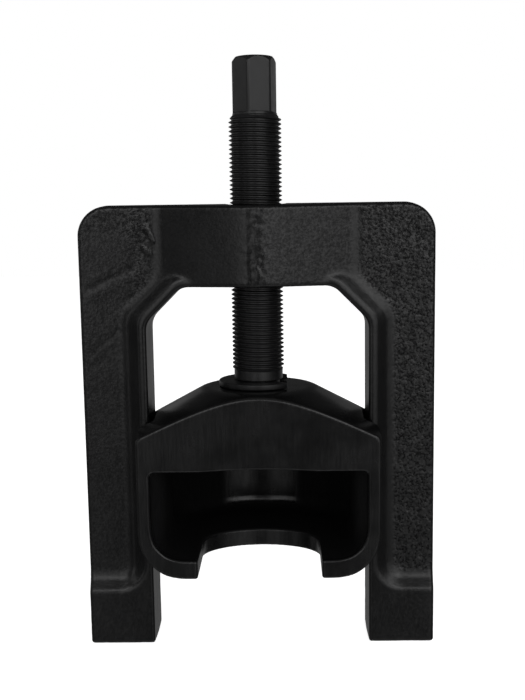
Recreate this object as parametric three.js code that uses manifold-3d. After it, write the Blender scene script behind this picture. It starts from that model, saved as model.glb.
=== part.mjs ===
// Heavy-duty universal-joint puller: a forged n-shaped frame, a left-hand forcing screw through
// its crossbar, and a bell-shaped bridge hung on the screw's lower head. Turning the screw raises
// or lowers the bridge.
//
// Units are millimetres, +Z is up. X runs from leg to leg and the bridge's open front faces -Y.
// Every piece is drawn about the screw's axis, with z = 0 at the bottom of the frame's feet. The
// whole puller is then moved along Y, so that the origin is the middle of its footprint.

import * as THREE from 'three';
import { mergeVertices } from 'three/addons/utils/BufferGeometryUtils.js';
import Module from 'manifold-3d';

const wasm = await Module();
wasm.setup();

// ---- driving dimensions ----

// Frame
const FRAME_WIDTH = 173;
const FRAME_HEIGHT = 218.3;
const FRAME_TOP_RADIUS = 15;
const RIB_DEPTH = 27; // front to back over the raised rib and the feet
const PANEL_DEPTH = 18; // front to back over the recessed panels
const LEG_GAP = 107.4;
const CROSSBAR_UNDERSIDE = 178;
const OPENING_CHAMFER = 15;
const RIB_TOP_WIDTH = 3.7; // flat top of the rib beside the opening
const RIB_SLOPE_WIDTH = 7.4; // its sloping outer side, down to the panel
const FOOT_HEIGHT = 27.2; // top edge of the raised foot
const PANEL_CORNER_RADIUS = 7;
const RIDGE_DEPTH = 43.8; // front to back over the crossbar's central ridge
const RIDGE_HALF_WIDTH = 47.5; // where the crossbar's ramps leave the panel
const NOSE_HALF_WIDTH = 7; // rounded top of the ridge
const NOSE_HEIGHT = 1.2; // from the ramps' ends to the top of the nose

// Screw
const THREAD_RADIUS = 12.7; // 1 inch, 12 threads per inch, left-hand
const RUNNING_CLEARANCE = 0.06;
const HEX_ACROSS_FLATS = 19.05;
const HEX_TURN = THREE.MathUtils.degToRad(15.5);
const SCREW_TOP = 287.1;
const HEX_BASE = 261.4;
const THREAD_BOTTOM = 136.8;
const JOURNAL_RADIUS = 12;
const GROOVE_RADIUS = 10.4;
const HEAD_RADIUS = 17.5;
const HEAD_HEIGHT = 10.5;
const SCREW_EDGE = 1.2; // chamfers on the head, the groove and the thread's lower end
const HEX_CHAMFER_HEIGHT = 2.4;
const HEX_CHAMFER_DEPTH = 1.6;

// Ring and washer
const RING_RADIUS = 19.7;
const RING_THICKNESS = 2.8;
const RING_GAP_HALF_ANGLE = THREE.MathUtils.degToRad(43);
const WASHER_THICKNESS = 3;

// Bridge
const HUB_TOP = 129;
const HUB_RADIUS = 27.2;
const CONE_SLOPE = THREE.MathUtils.degToRad(28.6);
const BELL_RADIUS = 66.5; // round back
const BELL_WIDTH = 118; // between its flat sides
const BRIDGE_FRONT = -30; // y of the flat front
const BRIDGE_BOTTOM = 38.4;
const FLOOR_TOP = 47.5;
const CEILING = 92;
const BELL_CORNER_RADIUS = 25; // under the flat sides
const BELL_BACK_RADIUS = 13; // under the round back
const POCKET_RADIUS = 61.2;
const POCKET_WIDTH = 106.8;
const POCKET_CORNER_RADIUS = 19.5;
const POCKET_BACK_RADIUS = 7;
const SLOT_WIDTH = 59.6;
const SLOT_END = 19.6; // y of the middle of the slot's rounded end
const SLOT_END_DEPTH = 20; // from there to where its straight sides start
const NECK_WIDTH = 103.4; // between the guide channels that clear the legs
const CHANNEL_DEPTH = 29.4; // front to back, round the legs' 27
const NECK_WALL = 5.4;
const COUNTERBORE_RADIUS = 18.5;
const COUNTERBORE_DEPTH = 16;

const REST_GAP = 0.3; // between pieces that rest on each other
const OVERLAP = 1; // how far a cutting or joined solid runs past the face it meets
const WELL_PAST = 100; // longer than any half of the puller
const ROUND_SEGMENTS = 64;
const RING_SEGMENTS = 48;
const CORNER_SEGMENTS = 6;

// ---- solids and geometry ----

function solidOf(geometry) {
  const bare = geometry.clone();
  bare.deleteAttribute('normal');
  bare.deleteAttribute('uv');
  const merged = mergeVertices(bare, 1e-4);
  const mesh = new wasm.Mesh({
    numProp: 3,
    vertProperties: new Float32Array(merged.attributes.position.array),
    triVerts: new Uint32Array(merged.index.array),
  });
  return new wasm.Manifold(mesh);
}

function geometryOf(solid) {
  const mesh = solid.getMesh();
  const indexed = new THREE.BufferGeometry();
  indexed.setAttribute('position', new THREE.BufferAttribute(mesh.vertProperties, 3));
  indexed.setIndex(new THREE.BufferAttribute(mesh.triVerts, 1));
  const flat = indexed.toNonIndexed();
  flat.computeVertexNormals();
  return flat;
}

// A solid turned about Z, from [radius, z] points listed from the bottom up that start and end on Z.
function turned(points) {
  const profile = points.map(([radius, z]) => new THREE.Vector2(radius, z));
  return solidOf(new THREE.LatheGeometry(profile, ROUND_SEGMENTS).rotateX(Math.PI / 2));
}

function cylinder(radius, bottom, top) {
  return turned([[0, bottom], [radius, bottom], [radius, top], [0, top]]);
}

function box(low, high) {
  const size = high.map((value, i) => value - low[i]);
  const centre = high.map((value, i) => (value + low[i]) / 2);
  return solidOf(new THREE.BoxGeometry(...size).translate(...centre));
}

function extruded(shape, depth, bevel) {
  const options = { depth, curveSegments: CORNER_SEGMENTS, bevelEnabled: false, ...bevel };
  return new THREE.ExtrudeGeometry(shape, options);
}

// A shape drawn in X and Z, extruded from y = back towards y = front.
function extrudedAlongY(shape, front, back, bevel = {}) {
  const geometry = extruded(shape, back - front, bevel);
  return solidOf(geometry.rotateX(Math.PI / 2).translate(0, back, 0));
}

// A shape drawn in X and Y, extruded from z = bottom to z = top.
function extrudedAlongZ(shape, bottom, top) {
  const geometry = extruded(shape, top - bottom, {});
  return solidOf(geometry.translate(0, 0, bottom));
}

function polygon(points) {
  return new THREE.Shape(points.map(([x, y]) => new THREE.Vector2(x, y)));
}

// [radius, z] points of an arc about a centre, from one angle to another.
function arcPoints(radius, z, size, start, end) {
  const points = [];
  for (let i = 0; i <= CORNER_SEGMENTS; i += 1) {
    const angle = start + ((end - start) * i) / CORNER_SEGMENTS;
    points.push([radius + size * Math.cos(angle), z + size * Math.sin(angle)]);
  }
  return points;
}

// ---- frame ----

function frameOutline() {
  const side = FRAME_WIDTH / 2;
  const radius = FRAME_TOP_RADIUS;
  const arcX = side - radius;
  const arcZ = FRAME_HEIGHT - radius;
  const shape = new THREE.Shape();
  shape.moveTo(-side, 0);
  shape.lineTo(side, 0);
  shape.lineTo(side, arcZ);
  shape.absarc(arcX, arcZ, radius, 0, Math.PI / 2);
  shape.absarc(-arcX, arcZ, radius, Math.PI / 2, Math.PI);
  return shape;
}

// The opening between the legs, grown outwards by a margin on its sides and top.
function openingPoints(margin, bottom) {
  const side = LEG_GAP / 2 + margin;
  const top = CROSSBAR_UNDERSIDE + margin;
  const chamfer = OPENING_CHAMFER + margin * (2 - Math.SQRT2);
  return [
    [side, bottom],
    [side, top - chamfer],
    [side - chamfer, top],
    [chamfer - side, top],
    [-side, top - chamfer],
    [-side, bottom],
  ];
}

// The recessed floor of the panels: everything outside the rib and above the feet.
function panelShape() {
  const outside = FRAME_WIDTH / 2 + WELL_PAST;
  const above = FRAME_HEIGHT + WELL_PAST;
  const floor = FOOT_HEIGHT + RIB_SLOPE_WIDTH;
  const inner = openingPoints(RIB_TOP_WIDTH + RIB_SLOPE_WIDTH, floor);
  const side = inner[0][0];
  const radius = PANEL_CORNER_RADIUS;
  const shape = new THREE.Shape();
  shape.moveTo(-outside, floor);
  shape.lineTo(-side - radius, floor);
  shape.absarc(-side - radius, floor + radius, radius, -Math.PI / 2, 0);
  inner.slice(1, 5).reverse().forEach(([x, z]) => shape.lineTo(x, z));
  shape.lineTo(side, floor + radius);
  shape.absarc(side + radius, floor + radius, radius, Math.PI, 1.5 * Math.PI);
  shape.lineTo(outside, floor);
  shape.lineTo(outside, above);
  shape.lineTo(-outside, above);
  return shape;
}

// One panel recess with sloping sides, on the front of the frame.
function panelCutter() {
  const recess = (RIB_DEPTH - PANEL_DEPTH) / 2;
  const bevel = {
    bevelEnabled: true,
    bevelThickness: recess,
    bevelSize: RIB_SLOPE_WIDTH,
    bevelSegments: 1,
  };
  return extrudedAlongY(panelShape(), -RIB_DEPTH / 2 - 2 * recess, -RIB_DEPTH / 2, bevel);
}

// The crossbar's ridge seen from above: on each face, two ramps that meet in a rounded nose.
function ridgeShape() {
  const root = PANEL_DEPTH / 2;
  const shoulder = RIDGE_DEPTH / 2 - NOSE_HEIGHT;
  const control = shoulder + 2 * NOSE_HEIGHT;
  const half = RIDGE_HALF_WIDTH;
  const nose = NOSE_HALF_WIDTH;
  const shape = new THREE.Shape();
  shape.moveTo(-half, -root);
  shape.lineTo(-nose, -shoulder);
  shape.quadraticCurveTo(0, -control, nose, -shoulder);
  shape.lineTo(half, -root);
  shape.lineTo(half, root);
  shape.lineTo(nose, shoulder);
  shape.quadraticCurveTo(0, control, -nose, shoulder);
  shape.lineTo(-half, root);
  return shape;
}

// The screw's plain hole, which stands for the thread in the crossbar or the bearing in the hub.
function screwHole(bottom, top) {
  return cylinder(THREAD_RADIUS + RUNNING_CLEARANCE, bottom, top);
}

function frameSolid() {
  const plate = extrudedAlongY(frameOutline(), -RIB_DEPTH / 2, RIB_DEPTH / 2);
  const front = panelCutter();
  const back = front.rotate([0, 0, 180]);
  const ridge = extrudedAlongZ(ridgeShape(), CROSSBAR_UNDERSIDE - OVERLAP, FRAME_HEIGHT);
  const opening = extrudedAlongY(polygon(openingPoints(0, -OVERLAP)), -RIDGE_DEPTH, RIDGE_DEPTH);
  const hole = screwHole(CROSSBAR_UNDERSIDE - OVERLAP, FRAME_HEIGHT + OVERLAP);
  return plate.subtract(front).subtract(back).add(ridge).subtract(opening).subtract(hole);
}

// ---- forcing screw, ring and washer ----

// Heights worked out from the bridge: the washer bears up against the counterbore's end, the head
// against the washer, and the ring lies on the hub.
const WASHER_TOP = CEILING + COUNTERBORE_DEPTH - REST_GAP;
const WASHER_BOTTOM = WASHER_TOP - WASHER_THICKNESS;
const HEAD_TOP = WASHER_BOTTOM - REST_GAP;
const HEAD_BOTTOM = HEAD_TOP - HEAD_HEIGHT;
const RING_BOTTOM = HUB_TOP + REST_GAP;
const RING_TOP = RING_BOTTOM + RING_THICKNESS;

function hexPrism(bottom, top) {
  const corner = HEX_ACROSS_FLATS / Math.sqrt(3);
  const points = [];
  for (let i = 0; i < 6; i += 1) {
    const angle = HEX_TURN + (i * Math.PI) / 3;
    points.push([corner * Math.cos(angle), corner * Math.sin(angle)]);
  }
  return extrudedAlongZ(polygon(points), bottom, top);
}

// The hex, with its corners cut back by a cone at the top.
function hexSolid() {
  const corner = HEX_ACROSS_FLATS / Math.sqrt(3);
  const limit = turned([
    [0, HEX_BASE - 2 * OVERLAP],
    [corner + OVERLAP, HEX_BASE - 2 * OVERLAP],
    [corner + OVERLAP, SCREW_TOP - HEX_CHAMFER_HEIGHT],
    [corner - HEX_CHAMFER_DEPTH, SCREW_TOP],
    [0, SCREW_TOP],
  ]);
  return hexPrism(HEX_BASE - OVERLAP, SCREW_TOP).intersect(limit);
}

function screwSolid() {
  const edge = SCREW_EDGE;
  const shank = turned([
    [0, HEAD_BOTTOM],
    [HEAD_RADIUS - edge, HEAD_BOTTOM],
    [HEAD_RADIUS, HEAD_BOTTOM + edge],
    [HEAD_RADIUS, HEAD_TOP],
    [THREAD_RADIUS, HEAD_TOP],
    [THREAD_RADIUS, RING_BOTTOM - REST_GAP - edge],
    [GROOVE_RADIUS, RING_BOTTOM - REST_GAP],
    [GROOVE_RADIUS, RING_TOP + REST_GAP],
    [JOURNAL_RADIUS, RING_TOP + REST_GAP],
    [JOURNAL_RADIUS, THREAD_BOTTOM],
    [THREAD_RADIUS, THREAD_BOTTOM + edge],
    [THREAD_RADIUS, HEX_BASE - 2 * edge],
    [HEX_ACROSS_FLATS / 2 + edge, HEX_BASE],
    [0, HEX_BASE],
  ]);
  return shank.add(hexSolid());
}

function ringSolid() {
  const inner = GROOVE_RADIUS + REST_GAP;
  const start = RING_GAP_HALF_ANGLE;
  const end = 2 * Math.PI - start;
  const shape = new THREE.Shape();
  shape.absarc(0, 0, RING_RADIUS, start, end);
  shape.absarc(0, 0, inner, end, start, true);
  const geometry = extruded(shape, RING_THICKNESS, { curveSegments: RING_SEGMENTS });
  return solidOf(geometry.translate(0, 0, RING_BOTTOM));
}

function washerSolid() {
  const disc = cylinder(HEAD_RADIUS, WASHER_BOTTOM, WASHER_TOP);
  const hole = cylinder(THREAD_RADIUS + REST_GAP, WASHER_BOTTOM - OVERLAP, WASHER_TOP + OVERLAP);
  return disc.subtract(hole);
}

// ---- bridge ----

// The front view shared by the bell and its pocket: flat sides and rounded lower corners.
function trough(width, bottom, top, round) {
  const half = width / 2;
  const shape = new THREE.Shape();
  shape.moveTo(-half, top);
  shape.lineTo(-half, bottom + round);
  shape.absarc(round - half, bottom + round, round, Math.PI, 1.5 * Math.PI);
  shape.absarc(half - round, bottom + round, round, 1.5 * Math.PI, 2 * Math.PI);
  shape.lineTo(half, top);
  return extrudedAlongY(shape, -WELL_PAST, WELL_PAST);
}

// A round body with a rounded lower edge, up to the given upper [radius, z] points.
function roundBody(radius, bottom, round, upper) {
  const edge = arcPoints(radius - round, bottom + round, round, -Math.PI / 2, 0);
  return turned([[0, bottom], ...edge, ...upper]);
}

function bellSolid() {
  const coneDrop = (BELL_RADIUS - HUB_RADIUS) * Math.tan(CONE_SLOPE);
  const cone = [[BELL_RADIUS, HUB_TOP - coneDrop], [HUB_RADIUS, HUB_TOP], [0, HUB_TOP]];
  const body = roundBody(BELL_RADIUS, BRIDGE_BOTTOM, BELL_BACK_RADIUS, cone);
  return body.intersect(trough(BELL_WIDTH, BRIDGE_BOTTOM, HUB_TOP + OVERLAP, BELL_CORNER_RADIUS));
}

// The pocket is narrowed where the legs pass outside it.
function pocketSolid() {
  const walls = [[POCKET_RADIUS, CEILING], [0, CEILING]];
  const room = roundBody(POCKET_RADIUS, FLOOR_TOP, POCKET_BACK_RADIUS, walls);
  const inner = NECK_WIDTH / 2 - NECK_WALL;
  const reach = CHANNEL_DEPTH / 2 + NECK_WALL;
  const ramp = POCKET_RADIUS - inner;
  const neck = [
    [inner, -reach],
    [inner, reach],
    [inner + ramp, reach + ramp],
    [inner + ramp, -reach - ramp],
  ];
  const right = extrudedAlongZ(polygon(neck), BRIDGE_BOTTOM, CEILING + OVERLAP);
  const left = right.rotate([0, 0, 180]);
  const sides = trough(POCKET_WIDTH, FLOOR_TOP, CEILING + OVERLAP, POCKET_CORNER_RADIUS);
  return room.intersect(sides).subtract(right).subtract(left);
}

function slotShape() {
  const half = SLOT_WIDTH / 2;
  const centre = SLOT_END - SLOT_END_DEPTH;
  const shape = new THREE.Shape();
  shape.moveTo(-half, BRIDGE_FRONT - OVERLAP);
  shape.lineTo(half, BRIDGE_FRONT - OVERLAP);
  shape.lineTo(half, centre);
  shape.absellipse(0, centre, half, SLOT_END_DEPTH, 0, Math.PI);
  return shape;
}

function bridgeSolid() {
  const top = HUB_TOP + OVERLAP;
  const inFront = box([-WELL_PAST, -WELL_PAST, 0], [WELL_PAST, BRIDGE_FRONT, top]);
  const channelHalf = CHANNEL_DEPTH / 2;
  const rightChannel = box([NECK_WIDTH / 2, -channelHalf, 0], [WELL_PAST, channelHalf, top]);
  const leftChannel = rightChannel.rotate([0, 0, 180]);
  const slot = extrudedAlongZ(slotShape(), BRIDGE_BOTTOM - OVERLAP, FLOOR_TOP + OVERLAP);
  const hole = screwHole(CEILING - OVERLAP, top);
  const counterbore = cylinder(COUNTERBORE_RADIUS, CEILING - OVERLAP, CEILING + COUNTERBORE_DEPTH);
  return bellSolid()
    .subtract(inFront)
    .subtract(rightChannel)
    .subtract(leftChannel)
    .subtract(pocketSolid())
    .subtract(slot)
    .subtract(hole)
    .subtract(counterbore);
}

// ---- assembly ----

const blackPaint = { color: 0x101112, roughness: 0.42, metalness: 0.1 };
const blackOxide = { color: 0x17181a, roughness: 0.38, metalness: 0.85 };
const darkSteel = { color: 0x1c1d1f, roughness: 0.35, metalness: 0.9 };

function piece(name, solid, look) {
  const mesh = new THREE.Mesh(geometryOf(solid), new THREE.MeshStandardMaterial(look));
  mesh.name = name;
  return mesh;
}

// The pieces that turn together: the screw carries its ring and its thrust washer.
function screwGroup() {
  const group = new THREE.Group();
  group.add(piece('forcing_screw', screwSolid(), blackOxide));
  group.add(piece('retaining_ring', ringSolid(), darkSteel));
  group.add(piece('thrust_washer', washerSolid(), darkSteel));
  return group;
}

const puller = new THREE.Group();
puller.add(piece('puller_frame', frameSolid(), blackPaint));
puller.add(piece('bridge', bridgeSolid(), blackPaint));
puller.add(screwGroup());
puller.position.y = -(BRIDGE_FRONT + BELL_RADIUS) / 2;

export default puller;
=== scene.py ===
import math

import bmesh
import bpy
import numpy as np
from mathutils import Matrix, Vector, noise


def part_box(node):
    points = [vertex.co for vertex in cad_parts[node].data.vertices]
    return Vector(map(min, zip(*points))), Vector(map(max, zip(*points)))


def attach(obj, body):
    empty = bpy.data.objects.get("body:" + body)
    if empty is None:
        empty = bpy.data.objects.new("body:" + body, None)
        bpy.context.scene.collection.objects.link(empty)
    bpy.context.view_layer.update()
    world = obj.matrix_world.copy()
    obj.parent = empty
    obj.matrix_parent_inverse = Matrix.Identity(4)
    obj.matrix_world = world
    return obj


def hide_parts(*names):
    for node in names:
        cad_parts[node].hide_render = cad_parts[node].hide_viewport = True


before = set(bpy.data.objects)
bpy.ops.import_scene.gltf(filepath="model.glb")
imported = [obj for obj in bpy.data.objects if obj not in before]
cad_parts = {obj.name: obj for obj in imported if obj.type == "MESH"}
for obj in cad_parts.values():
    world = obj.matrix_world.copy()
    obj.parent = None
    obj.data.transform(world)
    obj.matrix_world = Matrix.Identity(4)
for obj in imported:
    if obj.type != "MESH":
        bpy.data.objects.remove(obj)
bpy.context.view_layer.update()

# A universal-joint puller: a forged frame, a bell-shaped bridge, a left-hand forcing screw, a retaining ring
# and a washer. Shapes are worked out in millimetres about the screw's axis, with +z up along the screw and -y
# towards the bridge's open front, and written to Blender in metres in the CAD frame.

# ---- dimensions in millimetres, from the CAD nodes where they give them ----

MM = 0.001
AXIS_Y = sum(corner.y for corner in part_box("forcing_screw")) / 2


def node_size(node):
    """Lowest and highest corners of a CAD node in millimetres, with y counted from the screw's axis."""
    low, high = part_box(node)
    shift = Vector((0.0, AXIS_Y, 0.0))
    return (low - shift) / MM, (high - shift) / MM


frame_low, frame_high = node_size("puller_frame")
bridge_low, bridge_high = node_size("bridge")
screw_low, screw_high = node_size("forcing_screw")
ring_low, ring_high = node_size("retaining_ring")
washer_low, washer_high = node_size("thrust_washer")

# Frame: two legs and a crossbar whose middle is a ridge, with a raised rib round the opening between the legs
FRAME_HALF_WIDTH = frame_high.x
FRAME_TOP = frame_high.z
FRAME_CORNER = 15.0
FRAME_EDGE = 1.8  # rounding of the frame's outer edges
OUTER_DRAFT = 0.05  # slope of the outer faces, front to back
INNER_DRAFT = 0.02  # slope of the opening's faces
LEG_INNER = 53.4
CROSSBAR_UNDERSIDE = 178.6
OPENING_CHAMFER = 16.8
OPENING_CORNER = 3.0  # blend at each end of the opening's slanted corners
OPENING_EDGE = 1.3
FOOT_TOP = 27.2
FOOT_FILLET = 14.0  # round corner between the top of a foot and the rib
FOOT_EDGE = 1.3
PANEL_HALF_DEPTH = 9.0
RIB_HALF_DEPTH = 13.5
RIB_TOP_WIDTH = 3.7
RIB_SLOPE_WIDTH = 7.4
RIB_SLOPE = math.atan2(RIB_HALF_DEPTH - PANEL_HALF_DEPTH, RIB_SLOPE_WIDTH)
RIB_EDGE = 0.7
RIB_FILLET = 1.8
RIDGE_HALF_DEPTH = frame_high.y
RIDGE_ALLOWANCE = 0.1  # kept free in front of the ridge for the roughness of its skin
RIDGE_ROOT = 47.8  # from the axis to where the ridge meets the panels
RIDGE_NOSE = 7.0
RIDGE_FILLET = 0.9
BORE_CHAMFER = 1.6

# Screw: a head inside the bridge, a plain shank with the ring's groove, a journal, the thread and the hex
REST_GAP = 0.3  # between pieces that rest on each other
HEAD_EDGE = 1.2
THREAD_RADIUS = 12.7
THREAD_PITCH = 25.4 / 12
THREAD_DEPTH = 0.613 * THREAD_PITCH
THREAD_BOTTOM = 136.8
THREAD_CLEARANCE = 0.1
ROOT_RUN_OUT = 2.2  # over which the thread's root fades into the journal
CREST_RUN_OUT = 1.5  # over which its crest does
THREAD_END_DROP = 0.6  # from the thread's root in to the foot of the cone above it
JOURNAL_RADIUS = 12.0
GROOVE_RADIUS = 10.4
GROOVE_LEAD = 1.2  # length of the taper into the groove
CONE_HEIGHT = 1.3  # between the thread and the hex
HEX_BASE = 261.4
HEX_FLAT_RADIUS = 19.05 / 2
HEX_TURN = math.radians(15.5)
HEX_CORNER_CUT = 0.22
HEX_CHAMFER_HEIGHT = 2.4
HEX_CHAMFER_CUT = 1.75

# Bridge: a bell with a flat front, a hub, a channel down each side for the legs, a pocket and a slotted floor
HUB_TOP = bridge_high.z
HUB_RADIUS = 27.2
HUB_EDGE = 1.4
HOLE_RADIUS = 12.8
HOLE_CHAMFER = 0.8
CONE_SLOPE = math.radians(28.6)
CONE_EDGE = 2.4
BELL_RADIUS = bridge_high.y
BELL_HALF_WIDTH = bridge_high.x
BELL_CORNER = 4.0  # between the bell's round back and its flat sides
BACK_ROUND = 13.0  # at the foot of the round back
SIDE_ROUND = 25.0  # at the foot of the flat sides
BRIDGE_FRONT = bridge_low.y
BRIDGE_BOTTOM = bridge_low.z
FRONT_EDGE = 1.1
CHANNEL_HALF_DEPTH = 14.7
CHANNEL_EDGE = 1.5
NECK_HALF_WIDTH = 51.7
NECK_INNER = 46.3
NECK_WALL = 5.4
NECK_BLEND = 5.0
FLOOR_TOP = 47.5
CEILING = 92.0
CEILING_FILLET = 2.6
POCKET_RADIUS = 61.2
POCKET_BACK_ROUND = 7.5
POCKET_HALF_WIDTH = 53.4
POCKET_SIDE_ROUND = 19.5
MOUTH_EDGE = 1.2
RECESS_RADIUS = 41.0  # a shallow recess in the ceiling
RECESS_SLOPE = 0.1
RECESS_DEPTH = 1.2
SLOT_HALF_WIDTH = 29.8
SLOT_END_DEPTH = 20.0
SLOT_CENTRE = -0.4
SLOT_REACH = 20  # how far below the ceiling the slot's cut stops
SLOT_EDGE = 1.4
COUNTERBORE_RADIUS = 18.5
COUNTERBORE_TOP = 108.0
COUNTERBORE_EDGE = 0.8


# ---- distance fields: negative inside the metal, in millimetres ----


def smooth_min(a, b, size):
    """Joins two solids with a fillet; the blend reaches where the two fields differ by size."""
    h = np.maximum(size - np.abs(a - b), 0.0) / size
    return np.minimum(a, b) - h * h * size * 0.25


def smooth_max(a, b, size):
    """Intersects two solids and softens the edge between them."""
    return -smooth_min(-a, -b, size)


def round_max(a, b, radius):
    """Intersects two solids whose faces meet squarely, with a round edge of the given radius."""
    inside = np.minimum(np.maximum(a, b), -radius)
    return inside + np.hypot(np.maximum(a + radius, 0.0), np.maximum(b + radius, 0.0))


def round_min(a, b, radius):
    """Joins two solids whose faces meet squarely, with a round inner corner."""
    return -round_max(-a, -b, radius)


def opening_distance(x, z):
    """How far a point of the frame's face is from the opening between the legs."""
    side = np.abs(x)
    corner = LEG_INNER + CROSSBAR_UNDERSIDE - OPENING_CHAMFER
    slant = (side + z - corner) / math.sqrt(2)
    legs = smooth_max(side - LEG_INNER, slant, OPENING_CORNER)
    return smooth_max(legs, z - CROSSBAR_UNDERSIDE, OPENING_CORNER)


def frame_faces(x, y, z):
    """Three front-to-back fields: the recessed panels, the raised rib with the feet, and the ridge."""
    depth = np.abs(y)
    panel = depth - PANEL_HALF_DEPTH
    from_rib = opening_distance(x, z) - RIB_TOP_WIDTH
    raised = round_min(from_rib, z - FOOT_TOP, FOOT_FILLET)
    slope = raised * math.sin(RIB_SLOPE) + (depth - RIB_HALF_DEPTH) * math.cos(RIB_SLOPE)
    rib = smooth_max(depth - RIB_HALF_DEPTH, slope, RIB_EDGE)
    rise = RIDGE_HALF_DEPTH - RIDGE_ALLOWANCE - PANEL_HALF_DEPTH
    tilt = math.atan2(rise, RIDGE_ROOT - RIDGE_NOSE)
    along = np.sqrt(x * x + RIDGE_NOSE * RIDGE_NOSE) - RIDGE_ROOT
    ridge = panel * math.cos(tilt) + along * math.sin(tilt)
    return panel, rib, ridge


def frame_field(x, y, z):
    """The frame, with its threaded hole left plain."""
    panel, rib, ridge = frame_faces(x, y, z)
    body = smooth_min(smooth_min(panel, rib, RIB_FILLET), ridge, RIDGE_FILLET)
    depth = np.abs(y)
    outline = round_max(np.abs(x) - FRAME_HALF_WIDTH, z - FRAME_TOP, FRAME_CORNER)
    body = round_max(body, outline + OUTER_DRAFT * depth, FRAME_EDGE)
    body = round_max(body, INNER_DRAFT * depth - opening_distance(x, z), OPENING_EDGE)
    body = round_max(body, -z, FOOT_EDGE)
    hole = THREAD_RADIUS + THREAD_CLEARANCE - np.hypot(x, y)
    to_mouth = np.minimum(FRAME_TOP - z, z - CROSSBAR_UNDERSIDE)
    return np.maximum(body, hole + np.clip(BORE_CHAMFER - to_mouth, 0.0, BORE_CHAMFER))


def pocket_field(x, y, z):
    """The room inside the bridge, negative inside it."""
    side = np.abs(x)
    radius = np.hypot(x, y)
    recess = np.clip((RECESS_RADIUS - radius) * RECESS_SLOPE, 0.0, RECESS_DEPTH)
    round_wall = round_max(radius - POCKET_RADIUS, FLOOR_TOP - z, POCKET_BACK_ROUND)
    flat_wall = round_max(side - POCKET_HALF_WIDTH, FLOOR_TOP - z, POCKET_SIDE_ROUND)
    room = smooth_max(round_wall, flat_wall, BELL_CORNER)
    past_neck = (np.abs(y) - CHANNEL_HALF_DEPTH - NECK_WALL - (side - NECK_INNER)) / math.sqrt(2)
    neck = smooth_max(NECK_INNER - side, past_neck, NECK_BLEND)
    room = smooth_max(room, -neck, NECK_BLEND)
    return smooth_max(room, z - CEILING - recess, CEILING_FILLET)


def bridge_outside(x, y, z):
    """The bridge's outer form: the bell with its cone, hub and flat front, and the channels in its sides."""
    side = np.abs(x)
    radius = np.hypot(x, y)
    cone = (radius - HUB_RADIUS) * math.sin(CONE_SLOPE) + (z - HUB_TOP) * math.cos(CONE_SLOPE)
    top = smooth_max(cone, z - HUB_TOP, HUB_EDGE)
    round_back = round_max(radius - BELL_RADIUS, BRIDGE_BOTTOM - z, BACK_ROUND)
    flat_side = round_max(side - BELL_HALF_WIDTH, BRIDGE_BOTTOM - z, SIDE_ROUND)
    body = smooth_max(round_back, flat_side, BELL_CORNER)
    body = smooth_max(body, top, CONE_EDGE)
    channel = np.minimum(side - NECK_HALF_WIDTH, CHANNEL_HALF_DEPTH - np.abs(y))
    body = smooth_max(body, channel, CHANNEL_EDGE)
    return round_max(body, BRIDGE_FRONT - y, FRONT_EDGE)


def bridge_field(x, y, z):
    """The bridge: its outer form less the pocket, the slot, the screw's hole and the counterbore."""
    body = round_max(bridge_outside(x, y, z), -pocket_field(x, y, z), MOUTH_EDGE)
    behind = np.maximum(y - SLOT_CENTRE, 0.0) * (SLOT_HALF_WIDTH / SLOT_END_DEPTH)
    slot = np.maximum(np.hypot(x, behind) - SLOT_HALF_WIDTH, z - CEILING + SLOT_REACH)
    body = round_max(body, -slot, SLOT_EDGE)
    radius = np.hypot(x, y)
    chamfer = np.maximum(HOLE_CHAMFER - (HUB_TOP - z), 0.0)
    body = np.maximum(body, HOLE_RADIUS - radius + chamfer)
    counterbore = np.maximum(radius - COUNTERBORE_RADIUS, z - COUNTERBORE_TOP)
    return round_max(body, -counterbore, COUNTERBORE_EDGE)


# ---- meshing a field ----

CELL_CORNERS = [(i, j, k) for i in (0, 1) for j in (0, 1) for k in (0, 1)]
CELL_EDGES = [
    (a, b)
    for a in range(8)
    for b in range(a + 1, 8)
    if sum(abs(p - q) for p, q in zip(CELL_CORNERS[a], CELL_CORNERS[b])) == 1
]


def sampled(field, axes):
    """The field on a grid, filled one slab of x at a time."""
    values = np.empty([len(a) for a in axes], np.float32)
    slab = 32
    for start in range(0, len(axes[0]), slab):
        part = axes[0][start : start + slab]
        grid = np.meshgrid(part, axes[1], axes[2], indexing="ij")
        values[start : start + slab] = field(*grid)
    return values


def cell_points(values, cells, low, step):
    """One point for each cell that the surface crosses: the mean of its crossings with the cell's edges."""
    corner = np.array(CELL_CORNERS)
    at = cells[:, None, :] + corner[None, :, :]
    v = values[at[..., 0], at[..., 1], at[..., 2]].astype(float)
    total = np.zeros((len(cells), 3))
    count = np.zeros(len(cells))
    for a, b in CELL_EDGES:
        crossed = (v[:, a] < 0) != (v[:, b] < 0)
        gap = np.where(crossed, v[:, a] - v[:, b], 1.0)
        t = np.where(crossed, v[:, a] / gap, 0.0)[:, None]
        point = corner[a] + t * (corner[b] - corner[a])
        total += np.where(crossed[:, None], point, 0.0)
        count += crossed
    return np.array(low) + step * (cells + total / count[:, None])


def field_gradient(field, p, reach=0.02):
    """The field's slope at each point, by the difference over a short reach either way along each axis."""
    slopes = []
    for axis in range(3):
        d = np.zeros(3)
        d[axis] = reach
        slopes.append((field(*(p + d).T) - field(*(p - d).T)) / (2 * reach))
    return np.stack(slopes, 1)


def unit_normals(field, p):
    """The outward normal at each point of a field's surface."""
    slope = field_gradient(field, p)
    return slope / np.linalg.norm(slope, axis=1, keepdims=True)


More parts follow.
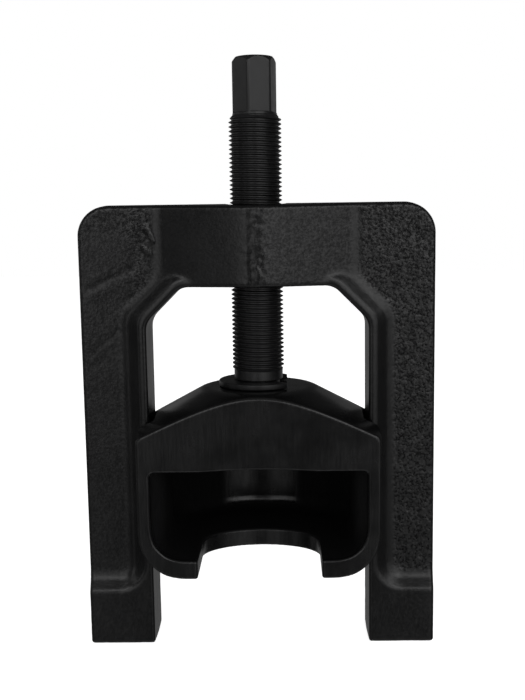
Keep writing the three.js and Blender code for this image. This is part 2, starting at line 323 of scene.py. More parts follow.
def settle(field, p, step, rounds=4):
    """Moves points onto the surface, each round by no more than a third of a cell."""
    least_size = 0.05
    least_length = 1e-9
    for _ in range(rounds):
        slope = field_gradient(field, p)
        size = np.maximum((slope**2).sum(1), least_size)
        move = -(field(*p.T) / size)[:, None] * slope
        length = np.linalg.norm(move, axis=1, keepdims=True)
        p = p + move * np.minimum(1.0, step / 3 / np.maximum(length, least_length))
    return p


def cell_quads(values, index):
    """A quad for each grid edge that the surface crosses, through the four cells round that edge."""
    inside = values < 0
    quads = []
    for axis in range(3):
        u, v = [a for a in range(3) if a != axis]
        first = [slice(1, -1)] * 3
        second = [slice(1, -1)] * 3
        first[axis] = slice(0, -1)
        second[axis] = slice(1, None)
        starts = inside[tuple(first)]
        ends = inside[tuple(second)]
        found = np.argwhere(starts != ends)
        leaving = starts[tuple(found.T)]
        at = found + np.array([0 if a == axis else 1 for a in range(3)])
        back_u, back_v = np.zeros(3, int), np.zeros(3, int)
        back_u[u] = 1
        back_v[v] = 1
        ring = [at - back_u - back_v, at - back_v, at, at - back_u]
        quad = np.stack([index[tuple(c.T)] for c in ring], 1)
        flip = leaving if axis == 1 else ~leaving
        quad[flip] = quad[flip][:, ::-1]
        quads.append(quad)
    return np.concatenate(quads)


def field_mesh(field, low, high, step):
    """Points and quads of the surface where the field is zero, by naive surface nets."""
    margin = 2 * step
    low = [v - margin for v in low]
    axes = [np.arange(a, b + margin + step, step) for a, b in zip(low, high)]
    values = sampled(field, axes)
    inside = values < 0
    filled = np.zeros([n - 1 for n in values.shape], np.int8)
    for i, j, k in CELL_CORNERS:
        filled += inside[i : i + filled.shape[0], j : j + filled.shape[1], k : k + filled.shape[2]]
    cells = np.argwhere((filled > 0) & (filled < 8))
    index = np.full(filled.shape, -1, np.int64)
    index[tuple(cells.T)] = np.arange(len(cells))
    points = settle(field, cell_points(values, cells, low, step), step)
    return points, cell_quads(values, index)


# ---- Blender objects ----


def to_cad_frame(points):
    """Millimetres about the screw's axis to metres in the CAD frame."""
    return np.asarray(points, float) * MM + np.array([0.0, AXIS_Y, 0.0])


def make_piece(name, points, faces, normals=None):
    """A smooth-shaded object of points in millimetres, with its own shading normals where they are given."""
    mesh = bpy.data.meshes.new(name)
    mesh.from_pydata(to_cad_frame(points).tolist(), [], [list(map(int, f)) for f in faces])
    mesh.validate()
    mesh.update()
    mesh.shade_smooth()
    if normals is not None:
        mesh.normals_split_custom_set_from_vertices(normals.tolist())
    piece = bpy.data.objects.new(name, mesh)
    bpy.context.scene.collection.objects.link(piece)
    return piece


def add_attribute(piece, name, values):
    """Stores one number for each point, for the piece's paint to read."""
    attribute = piece.data.attributes.new(name, "FLOAT", "POINT")
    attribute.data.foreach_set("value", np.asarray(values, np.float32))


def stand_for(piece, node, body, material):
    """Puts a finer piece in a CAD node's place."""
    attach(piece, body)
    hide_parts(node)
    piece.data.materials.append(material)


NOISE_DECAY = 0.9  # how much weaker each finer layer of noise is
NOISE_FINENESS = 2.1  # how much finer it is


def fractal(points, size, octaves, seed):
    """Fractal noise of about -1 to 1 whose largest bumps are size millimetres across."""
    shift = Vector((seed, seed * 1.7, seed * 0.3))
    places = [Vector(p) / size + shift for p in points]
    return np.array([noise.fractal(p, NOISE_DECAY, NOISE_FINENESS, octaves) for p in places])


def bell_curve(value, middle, width):
    """1 at the middle, fading to nothing over about twice the width on either side."""
    return np.exp(-(((value - middle) / width) ** 2))


def smooth_step(value, start, end):
    """Rises smoothly from 0 to 1 as the value goes from start to end."""
    t = np.clip((value - start) / (end - start), 0.0, 1.0)
    return t * t * (3 - 2 * t)


# ---- frame ----

FRAME_CELL = 0.8  # size of the grid's cells

# Dents and ridges left by the forging on the front of the left leg and shoulder, as lines across the face:
# start and end in x and z, width, and height, which is negative for a dent.
FORGING_MARKS = [
    ((-82.0, 178.0), (-60.8, 187.5), 1.6, -0.17),
    ((-60.8, 187.5), (-54.1, 204.5), 1.6, -0.2),
    ((-80.0, 174.5), (-60.0, 183.5), 2.4, 0.12),
    ((-53.0, 207.5), (-49.6, 201.0), 0.9, 0.55),
    ((-54.5, 198.5), (-51.5, 195.0), 0.9, 0.5),
    ((-82.0, 146.0), (-68.0, 157.0), 1.8, -0.09),
    ((-82.0, 139.0), (-70.0, 149.0), 1.8, -0.08),
]


def stroke(p, start, end, width):
    """1 on a line across the frame's face, fading to nothing over about twice its width."""
    a, b = np.array(start), np.array(end)
    q = p[:, [0, 2]] - a
    t = np.clip(q @ (b - a) / ((b - a) @ (b - a)), 0.0, 1.0)
    gap = np.linalg.norm(q - t[:, None] * (b - a), axis=1)
    return bell_curve(gap, 0.0, width)


# How rough the forged skin is, from 0 to 1
ROUGH_EVERYWHERE = 0.14
ROUGH_ON_FEET = 0.2
ROUGH_ON_PANELS = 0.86
LEFT_PANEL_SHARE = 0.3
BESIDE_RIDGE_SHARE = 0.6
TOP_STRIP_SHARE = 0.35
ROUGH_LEFT_OF_NOSE = 0.06
ROUGH_RIGHT_OF_NOSE = 0.3


def panel_share(x, z):
    """How much of the panels' roughness a place has.

    The right leg has all of it. The left leg has less, apart from a patch beside the ridge and a strip along
    the top of the shoulder.
    """
    from_left = LEFT_PANEL_SHARE + (1 - LEFT_PANEL_SHARE) * smooth_step(x, -35.0, 35.0)
    beside_ridge = bell_curve(x, -56.0, 6.0) * smooth_step(z, 148.0, 165.0)
    top_strip = smooth_step(-x, 45.0, 55.0) * smooth_step(z, 201.0, 209.0)
    return np.minimum(from_left + BESIDE_RIDGE_SHARE * beside_ridge + TOP_STRIP_SHARE * top_strip, 1.0)


def cast_amount(p, normals):
    """How rough the skin is: coarse on the right, patchy on the left, faint on the rib and the feet."""
    panel, rib, ridge = frame_faces(*p.T)
    x, z = p[:, 0], p[:, 2]
    on_panel = smooth_step(np.minimum(rib, ridge) - panel, 0.0, 1.5)
    on_ridge = smooth_step(np.minimum(rib, panel) - ridge, 0.0, 1.0)
    on_foot = smooth_step(-z, -FOOT_TOP, 1.0 - FOOT_TOP)
    facing = smooth_step(np.abs(normals[:, 1]), 0.2, 0.8)
    across_nose = (ROUGH_RIGHT_OF_NOSE - ROUGH_LEFT_OF_NOSE) * smooth_step(x, -4.0, 4.0)
    on_panel = ROUGH_ON_PANELS * on_panel * panel_share(x, z)
    on_ridge = (ROUGH_LEFT_OF_NOSE + across_nose) * on_ridge
    rough = ROUGH_EVERYWHERE + ROUGH_ON_FEET * on_foot + facing * (on_panel + on_ridge)
    return rough.clip(0.0, 1.0)


SEAM_REACH = 12  # how far from the ridge's middle the seam's marks go
SEAM_DEPTH = 0.3
LUMP_HEIGHT = 0.4


def nose_seam(p, normals):
    """The groove down the middle of the ridge and the lumpy metal beside it."""
    x = p[:, 0]
    groove = -SEAM_DEPTH * bell_curve(x, -2.0, 1.6)
    lumps = bell_curve(x, 1.0, 4.5) * LUMP_HEIGHT * fractal(p, size=2.4, octaves=3, seed=5.0)
    marked = (np.abs(normals[:, 1]) > 0.5) & (np.abs(x) < SEAM_REACH)
    return np.where(marked, groove + lumps, 0.0)


def build_frame(material):
    points, quads = field_mesh(frame_field, frame_low, frame_high, FRAME_CELL)
    normals = unit_normals(frame_field, points)
    rough = cast_amount(points, normals)
    fine_bumps = 0.13 * fractal(points, size=2.2, octaves=2, seed=3.0)
    broad_bumps = 0.14 * fractal(points, size=8.0, octaves=2, seed=8.0)
    height = rough * (fine_bumps + broad_bumps)
    front = points[:, 1] < 0
    for start, end, width, amount in FORGING_MARKS:
        height += np.where(front, amount * stroke(points, start, end, width), 0.0)
    height += nose_seam(points, normals)
    points = points + normals * height[:, None]
    points = np.clip(points, frame_low, frame_high)
    piece = make_piece("forged_frame", points, quads)
    add_attribute(piece, "cast", rough)
    stand_for(piece, "puller_frame", "frame_body", material)
    return piece


# ---- bridge ----

BRIDGE_CELL = 0.7  # size of the grid's cells


def pocket_scale_and_painted_shade(p):
    """1 on the pocket's sides and floor, where forging scale leaves the paint matt and lowered gloss is
    painted shade, and 0 elsewhere.
    """
    x, y, z = p.T
    on_wall = smooth_step(-pocket_field(x, y, z), -1.2, -0.4)
    at_sides = smooth_step(np.abs(x + 1.0), 15.0, 24.0)
    near_floor = smooth_step(-z, -52.0, -49.5)
    clear_of_slot = smooth_step(z, FLOOR_TOP - 0.6, FLOOR_TOP)
    clear_of_front = smooth_step(y, BRIDGE_FRONT + 1.5, BRIDGE_FRONT + 3.5)
    return on_wall * np.maximum(at_sides, near_floor) * clear_of_slot * clear_of_front


def build_bridge(material):
    points, quads = field_mesh(bridge_field, bridge_low, bridge_high, BRIDGE_CELL)
    normals = unit_normals(bridge_field, points)
    height = 0.06 * fractal(points, size=12.0, octaves=2, seed=6.0)
    machined = np.hypot(points[:, 0], points[:, 1]) < COUNTERBORE_RADIUS + 1.0
    ground = points[:, 1] < BRIDGE_FRONT + 2.0
    height[machined | ground] = 0.0
    points = np.clip(points + normals * height[:, None], bridge_low, bridge_high)
    piece = make_piece("bell_bridge", points, quads, normals)
    # The scale attribute holds the pocket's matt scale, which the paint also uses as painted shade on the
    # pocket's sides and floor.
    add_attribute(piece, "scale", pocket_scale_and_painted_shade(points))
    stand_for(piece, "bridge", "bridge_body", material)
    return piece


# ---- screw ----

TURN_STEPS = 144  # points in one turn


def ring_points(z, radius):
    """One ring of points about the screw's axis; the radius may vary round it."""
    angle = HEX_TURN + np.arange(TURN_STEPS) * 2 * math.pi / TURN_STEPS
    r = np.broadcast_to(radius, angle.shape)
    return np.stack([r * np.cos(angle), r * np.sin(angle), np.full(TURN_STEPS, z)], 1)


def ring_stack(rows, close_bottom, close_top):
    """Faces through rings listed from the bottom up, closed by a fan at either end where asked."""
    points = np.concatenate([ring_points(z, r) for z, r in rows])
    around = np.arange(TURN_STEPS)
    after = (around + 1) % TURN_STEPS
    faces = []
    for row in range(len(rows) - 1):
        a, b = row * TURN_STEPS, (row + 1) * TURN_STEPS
        faces += np.stack([a + around, a + after, b + after, b + around], 1).tolist()
    if close_bottom:
        faces.append((around[::-1]).tolist())
    if close_top:
        faces.append((around + (len(rows) - 1) * TURN_STEPS).tolist())
    return points, faces


def thread_radius(phase):
    """Radius of a 60 degree thread at a phase of 0 to 1 along one pitch: crest, flank, root, flank."""
    crest_end, root_start, root_end = 1 / 8, 7 / 16, 11 / 16
    rise = np.interp(phase, [0.0, crest_end, root_start, root_end, 1.0], [1.0, 1.0, 0.0, 0.0, 1.0])
    return THREAD_RADIUS - THREAD_DEPTH * (1 - rise)


def thread_limits(z, top):
    """The lowest and highest radius the thread may have at a height: chamfered above, run out below."""
    root = THREAD_RADIUS - THREAD_DEPTH
    past_root = root - 0.2
    root_share = smooth_step(z, THREAD_BOTTOM, THREAD_BOTTOM + ROOT_RUN_OUT)
    crest_share = smooth_step(z, THREAD_BOTTOM, THREAD_BOTTOM + CREST_RUN_OUT)
    low = JOURNAL_RADIUS + (past_root - JOURNAL_RADIUS) * root_share
    high = JOURNAL_RADIUS + (THREAD_RADIUS - JOURNAL_RADIUS) * crest_share
    chamfer = root - THREAD_END_DROP + (top - z)
    return np.minimum(low, chamfer), np.minimum(high, chamfer)


def thread_strip(bottom, top):
    """The left-hand thread as one strip wound down the screw, cut off square at both ends."""
    phases = np.array([0, 1 / 16, 1 / 8, 0.28, 7 / 16, 9 / 16, 11 / 16, 0.845])
    across = len(phases)
    start = top + THREAD_PITCH
    turns = math.ceil((start - bottom) / THREAD_PITCH) + 1
    step = np.arange(turns * TURN_STEPS)
    angle = HEX_TURN + step * 2 * math.pi / TURN_STEPS
    z = start - THREAD_PITCH * (step[:, None] / TURN_STEPS + phases[None, :])
    z = np.clip(z, bottom, top)
    low, high = thread_limits(z, top)
    r = np.clip(np.broadcast_to(thread_radius(phases)[None, :], z.shape), low, high)
    points = np.stack([r * np.cos(angle)[:, None], r * np.sin(angle)[:, None], z], 2).reshape(-1, 3)
    column = np.arange((turns - 1) * TURN_STEPS - 1)
    faces = []
    for i in range(across):
        here = column * across + i
        below = here + 1 if i < across - 1 else (column + TURN_STEPS) * across
        quad = np.stack([here, below, below + across, here + across], 1)
        faces.append(quad)
    return points, np.concatenate(faces).tolist()


def hex_radius(limit):
    """Distance from the axis to the hex's flats round one ring, with the corners cut back to a limit."""
    angle = np.arange(TURN_STEPS) * 2 * math.pi / TURN_STEPS
    from_flat = (angle % (math.pi / 3)) - math.pi / 6
    return np.minimum(HEX_FLAT_RADIUS / np.cos(from_flat), limit)


def screw_lower_rows():
    """Head, shank, ring groove and journal, as (height, radius) from the bottom up."""
    bottom, head_radius = screw_low.z, screw_high.x
    head_top = washer_low.z - REST_GAP
    groove_low, groove_high = ring_low.z - REST_GAP, ring_high.z + REST_GAP
    small_edge = 0.4
    fillet = 0.5
    return [
        (bottom, head_radius - HEAD_EDGE),
        (bottom + 0.25, head_radius - 0.6),
        (bottom + 0.6, head_radius - 0.2),
        (bottom + HEAD_EDGE, head_radius),
        (head_top - small_edge, head_radius),
        (head_top, head_radius - small_edge),
        (head_top, THREAD_RADIUS + fillet),
        (head_top + 0.1, THREAD_RADIUS + 0.1),
        (head_top + fillet, THREAD_RADIUS),
        (groove_low - GROOVE_LEAD, THREAD_RADIUS),
        (groove_low - 0.1, GROOVE_RADIUS + 0.1),
        (groove_low, GROOVE_RADIUS),
        (groove_high, GROOVE_RADIUS),
        (groove_high, JOURNAL_RADIUS - small_edge),
        (groove_high + small_edge, JOURNAL_RADIUS),
        (THREAD_BOTTOM, JOURNAL_RADIUS),
    ]


def screw_upper_rows(thread_top):
    """The cone above the thread and the chamfered hex, as (height, radius) from the bottom up."""
    corner = HEX_FLAT_RADIUS / math.cos(math.pi / 6) - HEX_CORNER_CUT
    cone_foot = THREAD_RADIUS - THREAD_DEPTH - THREAD_END_DROP
    top = screw_high.z
    rows = [
        (thread_top, cone_foot),
        (HEX_BASE - 0.4, HEX_FLAT_RADIUS + 1.15),
        (HEX_BASE, hex_radius(corner)),
        (top - HEX_CHAMFER_HEIGHT, hex_radius(corner)),
    ]
    chamfer_steps = 12
    chamfer_curve = 1.15
    for i in range(1, chamfer_steps + 1):
        t = i / chamfer_steps
        height = top - HEX_CHAMFER_HEIGHT * (1 - t)
        rows.append((height, hex_radius(corner - HEX_CHAMFER_CUT * t**chamfer_curve)))
    return rows


WELD_GAP = 0.001
THREAD_WELD_GAP = 0.006


def merge_close(piece, gap):
    """Welds points closer than a gap in millimetres, which also joins the screw's three lengths."""
    work = bmesh.new()
    work.from_mesh(piece.data)
    bmesh.ops.remove_doubles(work, verts=work.verts, dist=gap * MM)
    bmesh.ops.dissolve_degenerate(work, edges=work.edges, dist=gap * MM * 0.2)
    bmesh.ops.recalc_face_normals(work, faces=work.faces)
    work.to_mesh(piece.data)
    work.free()


def sharpen(piece, degrees):
    """Marks the edges that turn by more than an angle, so that they're shaded as edges."""
    bpy.context.view_layer.objects.active = piece
    piece.select_set(True)
    bpy.ops.object.shade_smooth_by_angle(angle=math.radians(degrees))
    piece.select_set(False)


def build_screw(material):
    thread_top = HEX_BASE - CONE_HEIGHT
    parts = [
        ring_stack(screw_lower_rows(), True, False),
        thread_strip(THREAD_BOTTOM, thread_top),
        ring_stack(screw_upper_rows(thread_top), False, True),
    ]
    points = []
    faces = []
    first = 0
    for part_points, part_faces in parts:
        points.append(part_points)
        faces += [[first + i for i in face] for face in part_faces]
        first += len(part_points)
    piece = make_piece("threaded_screw", np.concatenate(points), faces)
    merge_close(piece, THREAD_WELD_GAP)
    sharpen(piece, degrees=24)
    stand_for(piece, "forcing_screw", "screw_body", material)
    return piece


# ---- ring and washer ----


def rounded_section(inner, outer, bottom, top, edge, steps=4):
    """A closed rectangle of [radius, z] points with round corners."""
    # the middle of each corner's arc, and where the arc starts in half turns
    corners = [
        (outer - edge, bottom + edge, -0.5),
        (outer - edge, top - edge, 0.0),
        (inner + edge, top - edge, 0.5),
        (inner + edge, bottom + edge, 1.0),
    ]
    points = []
    for r, z, start in corners:
        for i in range(steps + 1):
            angle = (start + 0.5 * i / steps) * math.pi
            points.append((r + edge * math.cos(angle), z + edge * math.sin(angle)))
    return np.array(points)


def swept(section, angles, shrink):
    """A section carried round the axis, narrowed about its middle by shrink at each angle.

    Gives the points, the faces and the number of points in the section.
    """
    middle = section.mean(0)
    rows = []
    for angle, scale in zip(angles, shrink):
        r, z = (middle + (section - middle) * scale).T
        rows.append(np.stack([r * math.cos(angle), r * math.sin(angle), z], 1))
    n = len(section)
    around = np.arange(n)
    after = (around + 1) % n
    faces = []
    for row in range(len(rows) - 1):
        a, b = row * n, (row + 1) * n
        faces += np.stack([a + around, b + around, b + after, a + after], 1).tolist()
    return np.concatenate(rows), faces, n


def build_ring(material):
    """The open ring, whose ends are rounded by narrowing its section over the last few angles."""
    half_gap = math.radians(43)
    turn = np.linspace(half_gap, 2 * math.pi - half_gap, 121)
    end_angles = np.array([0.0, 0.004, 0.012, 0.024])
    end_widths = np.array([0.78, 0.9, 0.97, 1.0])
    angles = np.concatenate([turn[0] + end_angles, turn[2:-2], turn[-1] - end_angles[::-1]])
    shrink = np.ones(len(angles))
    shrink[: len(end_widths)] = end_widths
    shrink[-len(end_widths) :] = end_widths[::-1]
    section = rounded_section(GROOVE_RADIUS + REST_GAP, ring_high.y, ring_low.z, ring_high.z, edge=0.55)
    points, faces, n = swept(section, angles, shrink)
    faces.append(list(range(n))[::-1])
    faces.append(list(range(len(points) - n, len(points))))
    piece = make_piece("open_snap_ring", points, faces)
    merge_close(piece, WELD_GAP)
    sharpen(piece, degrees=35)
    stand_for(piece, "retaining_ring", "screw_body", material)
    return piece


def build_washer(material):
    section = rounded_section(THREAD_RADIUS + REST_GAP, washer_high.x, washer_low.z, washer_high.z, edge=0.4)
    angles = np.linspace(0, 2 * math.pi, 97)
    points, faces, _ = swept(section, angles, np.ones(len(angles)))
    piece = make_piece("hardened_washer", points, faces)
    merge_close(piece, WELD_GAP)
    sharpen(piece, degrees=35)
    stand_for(piece, "thrust_washer", "screw_body", material)
    return piece


# ---- materials ----


class Tree:
    """A node tree with short ways to add and join its nodes."""

    def __init__(self, tree):
        self.tree = tree
        tree.nodes.clear()

    def node(self, kind):
        return self.tree.nodes.new(kind)

    def link(self, source, target):
        self.tree.links.new(source, target)

    def put(self, socket, value):
        """Sets an input to a number or colour, or links it to another node's output."""
        if isinstance(value, bpy.types.NodeSocket):
            self.link(value, socket)
        else:
            socket.default_value = value

    def ramp(self, value, low, high, out_low=0.0, out_high=1.0):
        """Rises smoothly from out_low to out_high as the value goes from low to high."""
        node = self.node("ShaderNodeMapRange")
        node.interpolation_type = "SMOOTHSTEP"
        node.inputs["From Min"].default_value = low
        node.inputs["From Max"].default_value = high
        self.put(node.inputs["To Min"], out_low)
        self.put(node.inputs["To Max"], out_high)
        self.link(value, node.inputs["Value"])
        return node.outputs["Result"]

    def band(self, angle, start, full, fade, end):
        """Rises to 1 from start to full and falls to 0 from fade to end, all in degrees."""
        rise = self.ramp(angle, math.radians(start), math.radians(full))
        fall = self.ramp(angle, math.radians(fade), math.radians(end), 1.0, 0.0)
        return self.math("MULTIPLY", rise, fall)

    def math(self, operation, a, b=0.0, c=0.0):
        """A maths node's result, where each value is a number or another node's output."""
        node = self.node("ShaderNodeMath")
        node.operation = operation
        for socket, value in zip(node.inputs, (a, b, c)):
            self.put(socket, value)
        return node.outputs["Value"]


class Paint(Tree):
    """A material of one principled shader; noise sizes are in millimetres in the object's own space."""

    def __init__(self, name):
        self.material = bpy.data.materials.new(name)
        self.material.use_nodes = True
        super().__init__(self.material.node_tree)
        self.shader = self.node("ShaderNodeBsdfPrincipled")
        self.link(self.shader.outputs["BSDF"], self.node("ShaderNodeOutputMaterial").inputs["Surface"])
        self.place = self.node("ShaderNodeTexCoord").outputs["Object"]

    def noise(self, size_mm, detail=3.0, roughness=0.5, stretch=(1, 1, 1)):
        """Noise of about 0 to 1; a stretch below 1 draws it out along that axis."""
        mapping = self.node("ShaderNodeMapping")
        mapping.inputs["Scale"].default_value = stretch
        self.link(self.place, mapping.inputs["Vector"])
        node = self.node("ShaderNodeTexNoise")
        node.inputs["Scale"].default_value = 1 / (size_mm * MM)
        node.inputs["Detail"].default_value = detail
        node.inputs["Roughness"].default_value = roughness
        self.link(mapping.outputs["Vector"], node.inputs["Vector"])
        return node.outputs["Fac"]

    def mix(self, amount, a, b):
        """Colour a where the amount is 0 and colour b where it is 1."""
        node = self.node("ShaderNodeMix")
        node.data_type = "RGBA"
        self.put(node.inputs["Factor"], amount)
        self.put(node.inputs["A"], a)
        self.put(node.inputs["B"], b)
        return node.outputs["Result"]

    def attribute(self, name):
        """A number stored with each of the piece's points."""
        node = self.node("ShaderNodeAttribute")
        node.attribute_name = name
        return node.outputs["Fac"]

    def pointiness(self):
        """Above a half on sharp edges."""
        return self.node("ShaderNodeNewGeometry").outputs["Pointiness"]

    def bump(self, height, strength, distance_mm, below=None):
        """A surface roughened by a height of up to distance_mm, laid over the bump below it."""
        node = self.node("ShaderNodeBump")
        self.put(node.inputs["Strength"], strength)
        node.inputs["Distance"].default_value = distance_mm * MM
        self.link(height, node.inputs["Height"])
        if below is not None:
            self.link(below, node.inputs["Normal"])
        return node.outputs["Normal"]

    def finish(self, color, roughness, metallic=0.0, normal=None, specular=0.5):
        self.put(self.shader.inputs["Base Color"], color)
        self.put(self.shader.inputs["Roughness"], roughness)
        self.put(self.shader.inputs["Metallic"], metallic)
        self.put(self.shader.inputs["Specular IOR Level"], specular)
        if normal is not None:
            self.link(normal, self.shader.inputs["Normal"])
        return self.material


def grey(value, blue=1.03):
    """A grey, made slightly cool by the share of blue."""
    return (value, value, value * blue, 1.0)


def frame_paint():
    """Satin black enamel over a forged skin: orange peel everywhere, coarse grain where the skin is rough."""
    n = Paint("frame_black_enamel")
    cast = n.attribute("cast")
    grain = n.noise(size_mm=1.2, detail=3.0, roughness=0.6)
    peel = n.noise(size_mm=0.7, detail=2.0, roughness=0.5)
    clouds = n.noise(size_mm=18.0, detail=3.0, roughness=0.5)
    # Sharp edges lightened towards grey: partly paint worn thin, partly a painted highlight along the convex
    # edges.
    edge_wear_and_highlight = n.ramp(n.pointiness(), 0.53, 0.62)
    color = n.mix(clouds, grey(0.003), grey(0.006))
    color = n.mix(n.math("MULTIPLY", edge_wear_and_highlight, 0.4), color, grey(0.022))
    roughness = n.ramp(clouds, 0.3, 0.7, out_low=0.2, out_high=0.27)
    plain_gloss = 0.45
    grain_gloss = n.ramp(grain, 0.35, 0.65, out_low=0.1, out_high=0.8)
    gloss = n.math("MULTIPLY_ADD", n.math("SUBTRACT", grain_gloss, plain_gloss), cast, plain_gloss)
    least_bump = 0.1
    bump_by_cast = 0.9
    strength = n.math("MULTIPLY_ADD", cast, bump_by_cast, least_bump)
    fine = n.bump(peel, strength=0.2, distance_mm=0.06)
    normal = n.bump(grain, strength, distance_mm=0.27, below=fine)
    return n.finish(color, roughness, normal=normal, specular=gloss)


def bridge_paint():
    """Smoother satin black, with upright grinding marks on the flat front and matt scale in the pocket, whose
    lowered gloss is painted shade on the pocket's sides and floor.
    """
    n = Paint("bridge_black_enamel")
    # scale: the pocket's matt forging scale, used below also as painted shade on its sides and floor
    scale = n.attribute("scale")
    scratches = n.noise(size_mm=0.9, detail=3.0, roughness=0.6, stretch=(1.0, 1.0, 0.09))
    peel = n.noise(size_mm=0.9, detail=2.0, roughness=0.5)
    clouds = n.noise(size_mm=14.0, detail=3.0, roughness=0.5)
    # Sharp edges lightened towards grey: partly paint worn thin, partly a painted highlight, as along the
    # edge of the ceiling's recess.
    edge_wear_and_highlight = n.ramp(n.pointiness(), 0.54, 0.62)
    color = n.mix(clouds, grey(0.003), grey(0.005))
    color = n.mix(n.math("MULTIPLY", edge_wear_and_highlight, 0.45), color, grey(0.025))
    satin = n.ramp(clouds, 0.3, 0.7, out_low=0.18, out_high=0.28)
    scale_roughness = 0.75
    roughness = n.math("MAXIMUM", satin, n.math("MULTIPLY", scale, scale_roughness))
    marks = n.ramp(scratches, 0.35, 0.65, out_low=0.4, out_high=0.6)
    # Gloss falls to a quarter on the pocket's scale: painted shade on the pocket's sides and floor.
    gloss = n.math("MULTIPLY", marks, n.ramp(scale, 0.0, 1.0, out_low=1.0, out_high=0.25))
    fine = n.bump(peel, strength=0.2, distance_mm=0.06)
    normal = n.bump(scratches, strength=0.3, distance_mm=0.12, below=fine)
    return n.finish(color, roughness, normal=normal, specular=gloss)


def screw_steel():
    """Oiled black oxide on turned steel, with turning lines round the axis."""
    n = Paint("screw_black_oxide")
    lines = n.noise(size_mm=0.35, detail=2.0, roughness=0.5, stretch=(0.05, 0.05, 1.0))
    blotches = n.noise(size_mm=5.0, detail=3.0, roughness=0.6)
    # Sharp edges lightened towards grey: partly worn oxide, partly a painted highlight along the hex and
    # thread edges.
    edge_wear_and_highlight = n.ramp(n.pointiness(), 0.52, 0.6)
    color = n.mix(blotches, grey(0.006), grey(0.01))
    color = n.mix(n.math("MULTIPLY", edge_wear_and_highlight, 0.5), color, grey(0.03))
    roughness = n.ramp(blotches, 0.3, 0.7, out_low=0.3, out_high=0.4)
    normal = n.bump(lines, strength=0.15, distance_mm=0.04)
    return n.finish(color, roughness, normal=normal, specular=0.48)


def ring_steel():
    """Phosphated spring steel."""
    n = Paint("ring_spring_steel")
    blotches = n.noise(size_mm=2.0, detail=3.0, roughness=0.6)
    # Sharp edges lightened towards grey: partly worn finish, partly a painted highlight along the edges.
    edge_wear_and_highlight = n.ramp(n.pointiness(), 0.52, 0.6)
    color = n.mix(blotches, grey(0.005), grey(0.009))
    color = n.mix(n.math("MULTIPLY", edge_wear_and_highlight, 0.5), color, grey(0.04))
    roughness = n.ramp(blotches, 0.3, 0.7, out_low=0.3, out_high=0.42)
    normal = n.bump(n.noise(size_mm=0.4), strength=0.1, distance_mm=0.03)
    return n.finish(color, roughness, normal=normal, specular=0.42)


def washer_steel():
    """Hardened and ground steel, hidden inside the hub."""
    n = Paint("washer_ground_steel")
    blotches = n.noise(size_mm=3.0, detail=3.0, roughness=0.6)
    color = n.mix(blotches, grey(0.2), grey(0.28))
    roughness = n.ramp(blotches, 0.3, 0.7, out_low=0.25, out_high=0.4)
    normal = n.bump(n.noise(size_mm=0.3), strength=0.08, distance_mm=0.02)
    return n.finish(color, roughness, metallic=1.0, normal=normal)


# ---- stage, light and camera, in metres ----

FLOOR_HALF_SIZE = 3.0
FLOOR_DROP = 0.0004  # below the frame's feet
FLOOR_GLOW = 0.5
FLOOR_GLOW_SEEN = 0.9  # by the camera
WHITE = grey(1.0, 1.0)


def floor_material():
    """Matt floor with light of its own, brighter to the camera, so that it is white to the horizon."""
    n = Paint("pale_floor")
    color = n.mix(n.noise(size_mm=120.0, detail=2.0), grey(0.86, 1.0), grey(0.9, 1.0))
    seen = n.node("ShaderNodeLightPath").outputs["Is Camera Ray"]
    n.put(n.shader.inputs["Emission Color"], WHITE)
    n.put(n.shader.inputs["Emission Strength"], n.ramp(seen, 0.0, 1.0, FLOOR_GLOW, FLOOR_GLOW_SEEN))
    normal = n.bump(n.noise(size_mm=6.0), strength=0.02, distance_mm=0.1)
    return n.finish(color, roughness=0.8, normal=normal)


def build_stage():
    half = FLOOR_HALF_SIZE
    corners = [(-half, -half, 0), (half, -half, 0), (half, half, 0), (-half, half, 0)]
    mesh = bpy.data.meshes.new("floor")
    mesh.from_pydata(corners, [], [(0, 1, 2, 3)])
    floor = bpy.data.objects.new("floor", mesh)
    floor.location.z = -FLOOR_DROP
    bpy.context.scene.collection.objects.link(floor)
    mesh.materials.append(floor_material())
    floor.visible_glossy = False


# Upright lights, which the camera doesn't see: the side of the camera each one stands on; the angles, turned
# from the camera's own direction, at which it starts, is full, starts to fade and ends; and its strength.
UPRIGHT_LIGHTS = [
    ("right", (5, 12, 22, 60), 1.45),
    ("right", (44, 48, 52, 56), 0.9),
    ("left", (3, 13, 22, 40), 1.1),
    ("left", (47, 50, 54, 57), 1.2),
    ("left", (78, 86, 100, 120), 0.5),
]
AMBIENT = 0.05
GLOW_SHARE = 0.8


def upright_lights(n, right, left, z):
    """The lights on either side of the camera, dimmer low down and high up."""
    angles = {"right": right, "left": left}
    lit = 0.0
    for side, limits, strength in UPRIGHT_LIGHTS:
        lit = n.math("MULTIPLY_ADD", n.band(angles[side], *limits), strength, lit)
    low_down = n.ramp(z, -0.27, 0.03, out_low=0.22, out_high=1.0)
    high_up = n.ramp(z, 0.4, 0.7, out_low=1.0, out_high=0.15)
    return n.math("MULTIPLY", lit, n.math("MULTIPLY", low_down, high_up))


def end_panels(n, right, y, z):
    """A panel above the camera and a dimmer one underneath, both on the camera's side."""
    in_front = n.ramp(y, -0.45, -0.2, out_low=1.0, out_high=0.0)
    lower_edge = n.ramp(z, 0.25, 0.38, out_low=0.0, out_high=1.3)
    upper_edge = n.ramp(z, 0.48, 0.6, out_low=1.0, out_high=0.0)
    above = n.math("MULTIPLY", lower_edge, upper_edge)
    above = n.math("MULTIPLY", above, n.band(right, -45, -30, 50, 62))
    underneath = n.ramp(z, -0.85, -0.62, out_low=0.5, out_high=0.0)
    return n.math("MULTIPLY", n.math("ADD", above, underneath), in_front)


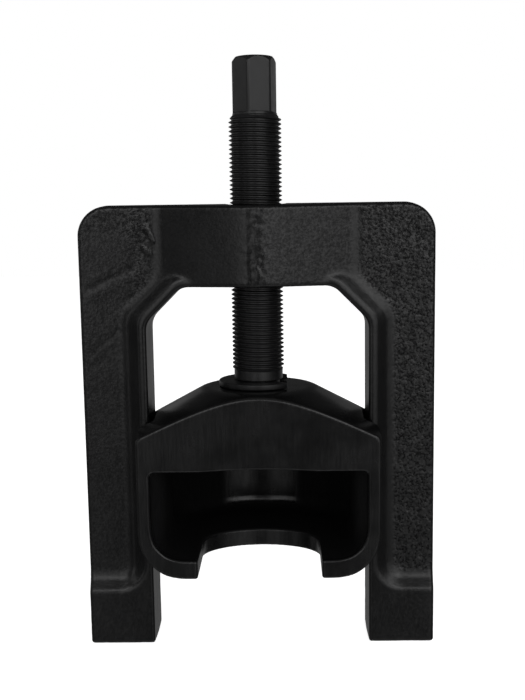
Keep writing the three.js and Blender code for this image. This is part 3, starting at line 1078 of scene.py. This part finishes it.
def light_from_behind(n, either_side, y, z):
    """A faint light behind on each side, and a fainter one along the horizon."""
    low_lights = n.ramp(z, 0.2, 0.4, out_low=0.3, out_high=0.0)
    side_lights = n.math("MULTIPLY", n.band(either_side, 118, 135, 158, 170), low_lights)
    near_horizon = n.ramp(z, -0.06, 0.12, out_low=0.15, out_high=0.0)
    horizon = n.math("MULTIPLY", n.ramp(y, 0.5, 0.8), near_horizon)
    return n.math("MAXIMUM", side_lights, horizon)


def build_world():
    """White to the camera; to all other rays, a dim studio lit mostly from the camera's side."""
    world = bpy.data.worlds.new("studio")
    world.use_nodes = True
    n = Tree(world.node_tree)
    direction = n.node("ShaderNodeSeparateXYZ")
    n.link(n.node("ShaderNodeTexCoord").outputs["Generated"], direction.inputs["Vector"])
    x, y, z = direction.outputs
    right = n.math("ARCTAN2", x, n.math("MULTIPLY", y, -1.0))
    left = n.math("MULTIPLY", right, -1.0)
    lit = n.math("ADD", upright_lights(n, right, left, z), end_panels(n, right, y, z))
    behind = light_from_behind(n, n.math("ABSOLUTE", right), y, z)
    glow = n.math("ADD", lit, n.math("ADD", behind, AMBIENT))
    glow = n.math("MULTIPLY", glow, GLOW_SHARE)
    seen = n.node("ShaderNodeLightPath").outputs["Is Camera Ray"]
    background = n.node("ShaderNodeBackground")
    background.inputs["Color"].default_value = WHITE
    n.link(n.math("MAXIMUM", glow, seen), background.inputs["Strength"])
    n.link(background.outputs["Background"], n.node("ShaderNodeOutputWorld").inputs["Surface"])
    bpy.context.scene.world = world


def area_light(name, place, target, size, power):
    """A rectangular light aimed at a target, which neither the camera nor reflections see."""
    data = bpy.data.lights.new(name, "AREA")
    data.shape = "RECTANGLE"
    data.size, data.size_y = size
    data.energy = power
    light = bpy.data.objects.new(name, data)
    light.location = place
    aim = Vector(target) - Vector(place)
    light.rotation_euler = aim.to_track_quat("-Z", "Y").to_euler()
    light.visible_camera = False
    light.visible_glossy = False
    bpy.context.scene.collection.objects.link(light)


CAMERA_DISTANCE = 0.488  # in front of the screw's axis
CAMERA_HEIGHT = 0.2137
CAMERA_SIDE = 0.01377
CAMERA_PITCH = math.radians(7.856)  # downwards
CAMERA_YAW = math.radians(0.924)
CAMERA_ROLL = math.radians(-0.791)
FOCAL_LENGTH_MM = 51.14
SENSOR_WIDTH_MM = 36.0
SHIFT_X = -0.011
NEAREST_SEEN = 0.01


def build_camera():
    data = bpy.data.cameras.new("camera")
    data.lens = FOCAL_LENGTH_MM
    data.sensor_width = SENSOR_WIDTH_MM
    data.shift_x = SHIFT_X
    data.clip_start = NEAREST_SEEN
    camera = bpy.data.objects.new("camera", data)
    level = Matrix.Rotation(math.pi / 2 - CAMERA_PITCH, 4, "X")
    turned = Matrix.Rotation(CAMERA_YAW, 4, "Z") @ level @ Matrix.Rotation(CAMERA_ROLL, 4, "Z")
    place = Matrix.Translation((CAMERA_SIDE, AXIS_Y - CAMERA_DISTANCE, CAMERA_HEIGHT))
    camera.matrix_world = place @ turned
    bpy.context.scene.collection.objects.link(camera)
    bpy.context.scene.camera = camera


def build_lights():
    build_world()
    target = (0.0, AXIS_Y, 0.1)
    area_light("top_softbox", (0.0, 0.0, 1.3), target, size=(1.4, 1.4), power=5)
    area_light("front_softbox", (0.2, -1.2, 0.9), target, size=(1.0, 1.0), power=4)


bpy.context.scene.view_settings.view_transform = "Standard"
build_frame(frame_paint())
build_bridge(bridge_paint())
build_screw(screw_steel())
build_ring(ring_steel())
build_washer(washer_steel())
build_stage()
build_lights()
build_camera()

bpy.context.view_layer.update()
